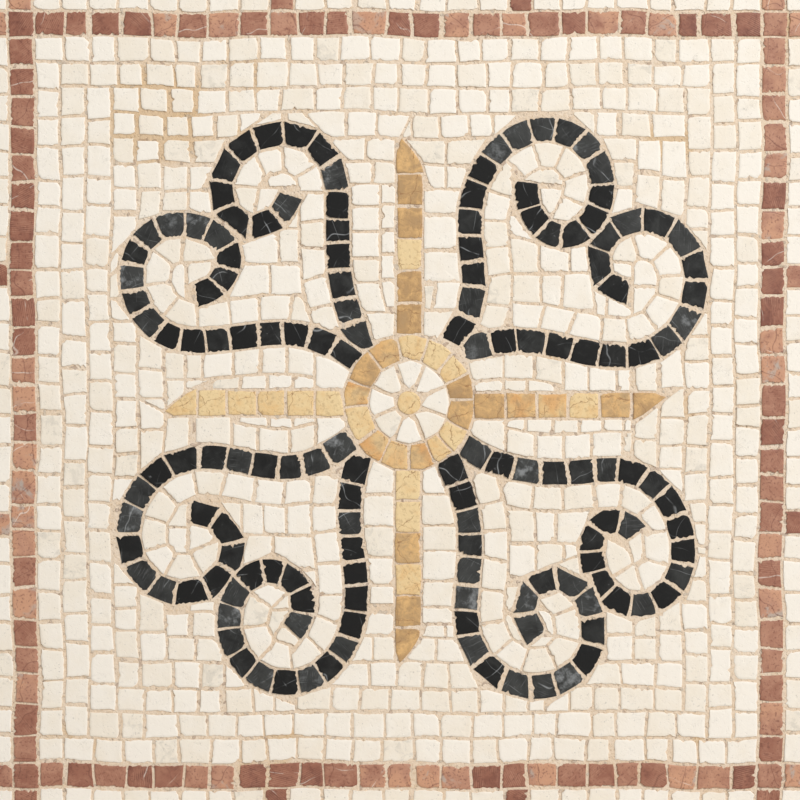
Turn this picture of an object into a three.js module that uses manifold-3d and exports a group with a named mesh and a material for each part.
// A square mosaic wall panel: hand-cut marble stones set in a bed of lime mortar.
//
// Millimetres, +Z up. Everything is modelled on the flat, +X to the right, +Y up the face and +Z
// out of the face, and the last group stands the panel upright with its face towards -Y and the
// middle of its back at the origin.
//
// The bed carries pockets for the medallion, the four rays, the first stone of each scroll and the
// corner stones of the border. The ground, the rest of the scrolls and of the border lie in the
// same skin, over the solid bed.

import * as THREE from 'three';
import { mergeVertices } from 'three/addons/utils/BufferGeometryUtils.js';
import Module from 'manifold-3d';

// Panel

const PANEL_SIDE = 320;
const PANEL_DEPTH = 24;
const PROUD = 0.6; // how far the stones stand out of the mortar
const STONE_DEPTH = 9;
const SETTING_GAP = 0.3; // between a stone and its pocket

// Stones

const STONE_WIDTH = 9.4; // across a ray, a scroll or the border
const STONE_LENGTH = 10.6;
const JOINT = 1.3;
const WORN_EDGE = 0.45; // chamfer round the faces
const CORNER_LOSS = [ 0.7, 1.5 ]; // how much of a corner the cutting took off
const UNEVENNESS = 0.3; // how far a corner strays from the layout

// Medallion

const MEDALLION_CENTRE = [ 3.6, - 1.0 ];
const BOSS_RADIUS = 4.6;
const BOSS_SIDES = 9;
const WEDGE_RADII = [ 6.3, 15.4 ];
const WEDGE_CENTRES = [ 2, 45, 87, 134, 180, 224, 270, 316 ]; // degrees, anticlockwise
const WEDGE_JOINT = 1.7;
const RING_RADII = [ 16.5, 25.4 ];
const RING_TALLNESS = 1.04; // the ring is a little taller than wide
const RING_JOINTS = [ 3, 26, 47, 73, 101, 130, 160, 184, 217, 243, 270, 294, 313, 335 ]; // degrees

// Rays: where each leaves the ring and where its point ends, both from the medallion's centre, how
// far its axis passes to the left of that centre, and on which side the point is

const RAY_STONES = 6;
const RAY_POINT = { slant: 9.5, setIn: 1.8, shoulder: 2.2 };
const RAYS = {
	upper: { direction: 90, start: 27.6, end: 104.8, aside: - 0.2, pointSide: 1 },
	left: { direction: 180, start: 26.4, end: 96.6, aside: 0.2, pointSide: 1 },
	lower: { direction: 270, start: 27.2, end: 103, aside: - 0.4, pointSide: - 1 },
	right: { direction: 0, start: 26.6, end: 101.8, aside: - 1.2, pointSide: 1 },
};

// Scrolls: two spring from the medallion in each quarter. Each first stone has its angle and radius
// about the medallion and the heading of its stem, and a joint parts the two

const SCROLL_ROOTS = {
	upper_right: { wide: { at: 40, radius: 35, heading: 13 }, tall: { at: 55.5, radius: 35, heading: 62 } },
	upper_left: { wide: { at: 141, radius: 31.5, heading: 146 }, tall: { at: 128, radius: 33, heading: 108 } },
	lower_left: { wide: { at: 213, radius: 33, heading: 212 }, tall: { at: 231, radius: 34, heading: 256 } },
	lower_right: { wide: { at: 323, radius: 33, heading: 330 }, tall: { at: 303, radius: 32, heading: 291 } },
};

// Border: how far the middle of each corner stone lies inside the panel's upright and level edges

const CORNER_INSETS = {
	upper_left: [ 8.8, 10 ],
	upper_right: [ 10.4, 10 ],
	lower_left: [ 10.8, 10 ],
	lower_right: [ 12.2, 10 ],
};

// Materials

const MORTAR = new THREE.MeshStandardMaterial( { color: 0xe0c7aa, roughness: 0.95, metalness: 0 } );
const WHITE_MARBLE = new THREE.MeshStandardMaterial( { color: 0xf0e8da, roughness: 0.6, metalness: 0 } );
const BLACK_MARBLE = new THREE.MeshStandardMaterial( { color: 0x23262a, roughness: 0.5, metalness: 0 } );
const RED_MARBLE = new THREE.MeshStandardMaterial( { color: 0xa0604c, roughness: 0.55, metalness: 0 } );
const YELLOW_MARBLE = new THREE.MeshStandardMaterial( { color: 0xdcb46c, roughness: 0.6, metalness: 0 } );

const random = seededRandom( 20 );
const wasm = await Module();
wasm.setup();

// A repeatable source of numbers from 0 to 1, so that every build gives the same stones

function seededRandom( seed ) {

	let state = seed;
	return () => {

		state = ( state + 0x6d2b79f5 ) | 0;
		let mixed = Math.imul( state ^ ( state >>> 15 ), 1 | state );
		mixed = ( mixed + Math.imul( mixed ^ ( mixed >>> 7 ), 61 | mixed ) ) ^ mixed;
		return ( ( mixed ^ ( mixed >>> 14 ) ) >>> 0 ) / 4294967296;

	};

}

function stray( amount ) {

	return ( 2 * random() - 1 ) * amount;

}

function polar( radius, degrees ) {

	const angle = THREE.MathUtils.degToRad( degrees );
	return new THREE.Vector2( radius * Math.cos( angle ), radius * Math.sin( angle ) );

}

// Outlines are anticlockwise lists of Vector2, and every one is convex

function moved( outline, [ x, y ], degrees = 0 ) {

	const origin = new THREE.Vector2();
	const angle = THREE.MathUtils.degToRad( degrees );
	return outline.map( ( point ) => point.clone().rotateAround( origin, angle ).add( { x, y } ) );

}

// Each corner is cut off a little, as a hammer leaves it

function handCut( outline ) {

	const [ least, most ] = CORNER_LOSS;
	const strayed = outline.map( ( p ) => {

		return new THREE.Vector2( p.x + stray( UNEVENNESS ), p.y + stray( UNEVENNESS ) );

	} );
	return strayed.flatMap( ( corner, i ) => {

		const before = strayed.at( i - 1 );
		const after = strayed[ ( i + 1 ) % strayed.length ];
		return [ before, after ].map( ( neighbour ) => {

			const loss = THREE.MathUtils.lerp( least, most, random() );
			const share = Math.min( loss / corner.distanceTo( neighbour ), 0.35 );
			return corner.clone().lerp( neighbour, share );

		} );

	} );

}

// The outline with each side moved straight out by the same amount

function grown( outline, amount ) {

	return outline.map( ( corner, i ) => {

		const into = corner.clone().sub( outline.at( i - 1 ) ).normalize();
		const out = outline[ ( i + 1 ) % outline.length ].clone().sub( corner ).normalize();
		const bisector = new THREE.Vector2( into.y + out.y, - into.x - out.x );
		const stretch = 2 * amount / bisector.lengthSq();
		return corner.clone().addScaledVector( bisector, stretch );

	} );

}

// What is left of the outline on the near side of a line through a point, square to outward

function cutAt( outline, through, outward ) {

	const beyond = ( p ) => p.clone().sub( through ).dot( outward );
	return outline.flatMap( ( corner, i ) => {

		const next = outline[ ( i + 1 ) % outline.length ];
		const [ here, there ] = [ beyond( corner ), beyond( next ) ];
		const kept = here <= 0 ? [ corner ] : [];
		return here * there < 0 ? [ ...kept, corner.clone().lerp( next, here / ( here - there ) ) ] : kept;

	} );

}

function oblong( length, width ) {

	const [ x, y ] = [ length / 2, width / 2 ];
	return [ new THREE.Vector2( x, y ), new THREE.Vector2( - x, y ),
		new THREE.Vector2( - x, - y ), new THREE.Vector2( x, - y ) ];

}

// A piece of a ring between two angles, less half a joint on each side, with a bent outer edge

function ringSegment( [ inner, outer ], from, to, joint ) {

	const inset = ( radius ) => THREE.MathUtils.radToDeg( joint / 2 / radius );
	return [
		polar( inner, from + inset( inner ) ),
		polar( outer, from + inset( outer ) ),
		polar( outer * 1.02, ( from + to ) / 2 ),
		polar( outer, to - inset( outer ) ),
		polar( inner, to - inset( inner ) ),
	];

}

// The last stone of a ray ends in a slanted cut, with its point near one side

function rayPoint( start, end, side ) {

	const { slant, setIn, shoulder } = RAY_POINT;
	const half = STONE_WIDTH / 2;
	const outline = [
		new THREE.Vector2( start, - half ),
		new THREE.Vector2( end - slant, - half ),
		new THREE.Vector2( end, half - setIn ),
		new THREE.Vector2( end - shoulder, half ),
		new THREE.Vector2( start, half ),
	];
	if ( side > 0 ) return outline;
	return outline.map( ( p ) => new THREE.Vector2( p.x, - p.y ) ).reverse();

}

function medallionStones() {

	const stones = [];
	const place = ( name, outline, material ) => {

		const tall = outline.map( ( p ) => new THREE.Vector2( p.x, p.y * RING_TALLNESS ) );
		stones.push( { name, outline: moved( handCut( tall ), MEDALLION_CENTRE ), material } );

	};

	const boss = Array.from( { length: BOSS_SIDES }, ( _, i ) => polar( BOSS_RADIUS, i * 360 / BOSS_SIDES ) );
	place( 'medallion_centre', boss, YELLOW_MARBLE );

	const last = WEDGE_CENTRES.length - 1;
	WEDGE_CENTRES.forEach( ( middle, i ) => {

		const before = i > 0 ? WEDGE_CENTRES[ i - 1 ] : WEDGE_CENTRES[ last ] - 360;
		const after = i < last ? WEDGE_CENTRES[ i + 1 ] : WEDGE_CENTRES[ 0 ] + 360;
		const wedge = ringSegment( WEDGE_RADII, ( before + middle ) / 2, ( middle + after ) / 2, WEDGE_JOINT );
		place( `medallion_wedge_${ i + 1 }`, wedge, WHITE_MARBLE );

	} );

	RING_JOINTS.forEach( ( from, i ) => {

		const to = i + 1 < RING_JOINTS.length ? RING_JOINTS[ i + 1 ] : RING_JOINTS[ 0 ] + 360;
		place( `medallion_ring_${ i + 1 }`, ringSegment( RING_RADII, from, to, JOINT ), YELLOW_MARBLE );

	} );

	return stones;

}

function rayStones( name, { direction, start, end, aside, pointSide } ) {

	const pitch = ( end - start ) / RAY_STONES;
	const axis = new THREE.Vector2( ...MEDALLION_CENTRE ).add( polar( aside, direction + 90 ) );
	return Array.from( { length: RAY_STONES }, ( _, i ) => {

		const near = start + i * pitch;
		const far = near + pitch - JOINT;
		const last = i === RAY_STONES - 1;
		const outline = last
			? rayPoint( near, far + JOINT, pointSide )
			: moved( oblong( far - near, STONE_WIDTH ), [ ( near + far ) / 2, 0 ] );
		return {
			name: `${ name }_ray_${ i + 1 }`,
			outline: moved( handCut( outline ), [ axis.x, axis.y ], direction ),
			material: YELLOW_MARBLE,
		};

	} );

}

function scrollRoots( quarter, roots ) {

	const places = Object.entries( roots ).map( ( [ name, { at, radius, heading } ] ) => {

		const centre = new THREE.Vector2( ...MEDALLION_CENTRE ).add( polar( radius, at ) );
		return { name: `${ quarter }_${ name }_scroll_root`, centre, heading };

	} );
	return places.map( ( { name, centre, heading }, i ) => {

		const other = places[ 1 - i ].centre;
		const towards = other.clone().sub( centre ).normalize();
		const parting = centre.clone().lerp( other, 0.5 ).addScaledVector( towards, - JOINT / 2 );
		const block = moved( oblong( STONE_LENGTH, STONE_WIDTH ), [ centre.x, centre.y ], heading );
		return { name, outline: handCut( cutAt( block, parting, towards ) ), material: BLACK_MARBLE };

	} );

}

function borderCorners() {

	const half = PANEL_SIDE / 2;
	return Object.entries( CORNER_INSETS ).map( ( [ corner, [ insetX, insetY ] ] ) => {

		const x = corner.endsWith( 'left' ) ? insetX - half : half - insetX;
		const y = corner.startsWith( 'lower' ) ? insetY - half : half - insetY;
		const outline = moved( handCut( oblong( STONE_WIDTH, STONE_WIDTH ) ), [ x, y ] );
		return { name: `${ corner }_corner_stone`, outline, material: RED_MARBLE };

	} );

}

function stoneGeometry( outline ) {

	return new THREE.ExtrudeGeometry( new THREE.Shape( outline ), {
		depth: STONE_DEPTH - 2 * WORN_EDGE,
		bevelThickness: WORN_EDGE,
		bevelSize: WORN_EDGE,
		bevelOffset: - WORN_EDGE,
		bevelSegments: 1,
	} ).translate( 0, 0, PANEL_DEPTH - STONE_DEPTH + WORN_EDGE );

}

function pocketGeometry( outline ) {

	const shape = new THREE.Shape( grown( outline, SETTING_GAP ) );
	const depth = STONE_DEPTH + SETTING_GAP;
	return new THREE.ExtrudeGeometry( shape, { depth, bevelEnabled: false } )
		.translate( 0, 0, PANEL_DEPTH - depth );

}

function toSolid( geometry ) {

	geometry.deleteAttribute( 'normal' );
	geometry.deleteAttribute( 'uv' );
	const merged = mergeVertices( geometry );
	return new wasm.Manifold( new wasm.Mesh( {
		numProp: 3,
		vertProperties: merged.attributes.position.array,
		triVerts: merged.index.array,
	} ) );

}

function fromSolid( solid ) {

	const mesh = solid.getMesh();
	const geometry = new THREE.BufferGeometry();
	geometry.setAttribute( 'position', new THREE.BufferAttribute( mesh.vertProperties, 3 ) );
	geometry.setIndex( new THREE.BufferAttribute( mesh.triVerts, 1 ) );
	geometry.computeVertexNormals();
	return geometry;

}

function bedGeometry( outlines ) {

	const depth = PANEL_DEPTH - PROUD;
	const slab = new THREE.BoxGeometry( PANEL_SIDE, PANEL_SIDE, depth ).translate( 0, 0, depth / 2 );
	const pockets = outlines.map( ( outline ) => toSolid( pocketGeometry( outline ) ) );
	return fromSolid( pockets.reduce( ( bed, pocket ) => bed.subtract( pocket ), toSolid( slab ) ) );

}

function namedMesh( name, geometry, material ) {

	const mesh = new THREE.Mesh( geometry, material );
	mesh.name = name;
	return mesh;

}

const stones = [
	...medallionStones(),
	...Object.entries( RAYS ).flatMap( ( [ name, ray ] ) => rayStones( name, ray ) ),
	...Object.entries( SCROLL_ROOTS ).flatMap( ( [ quarter, roots ] ) => scrollRoots( quarter, roots ) ),
	...borderCorners(),
];

const group = new THREE.Group();
group.add( namedMesh( 'mortar_bed', bedGeometry( stones.map( ( stone ) => stone.outline ) ), MORTAR ) );
stones.forEach( ( { name, outline, material } ) => {

	group.add( namedMesh( name, stoneGeometry( outline ), material ) );

} );
group.rotation.x = Math.PI / 2;

export default group;
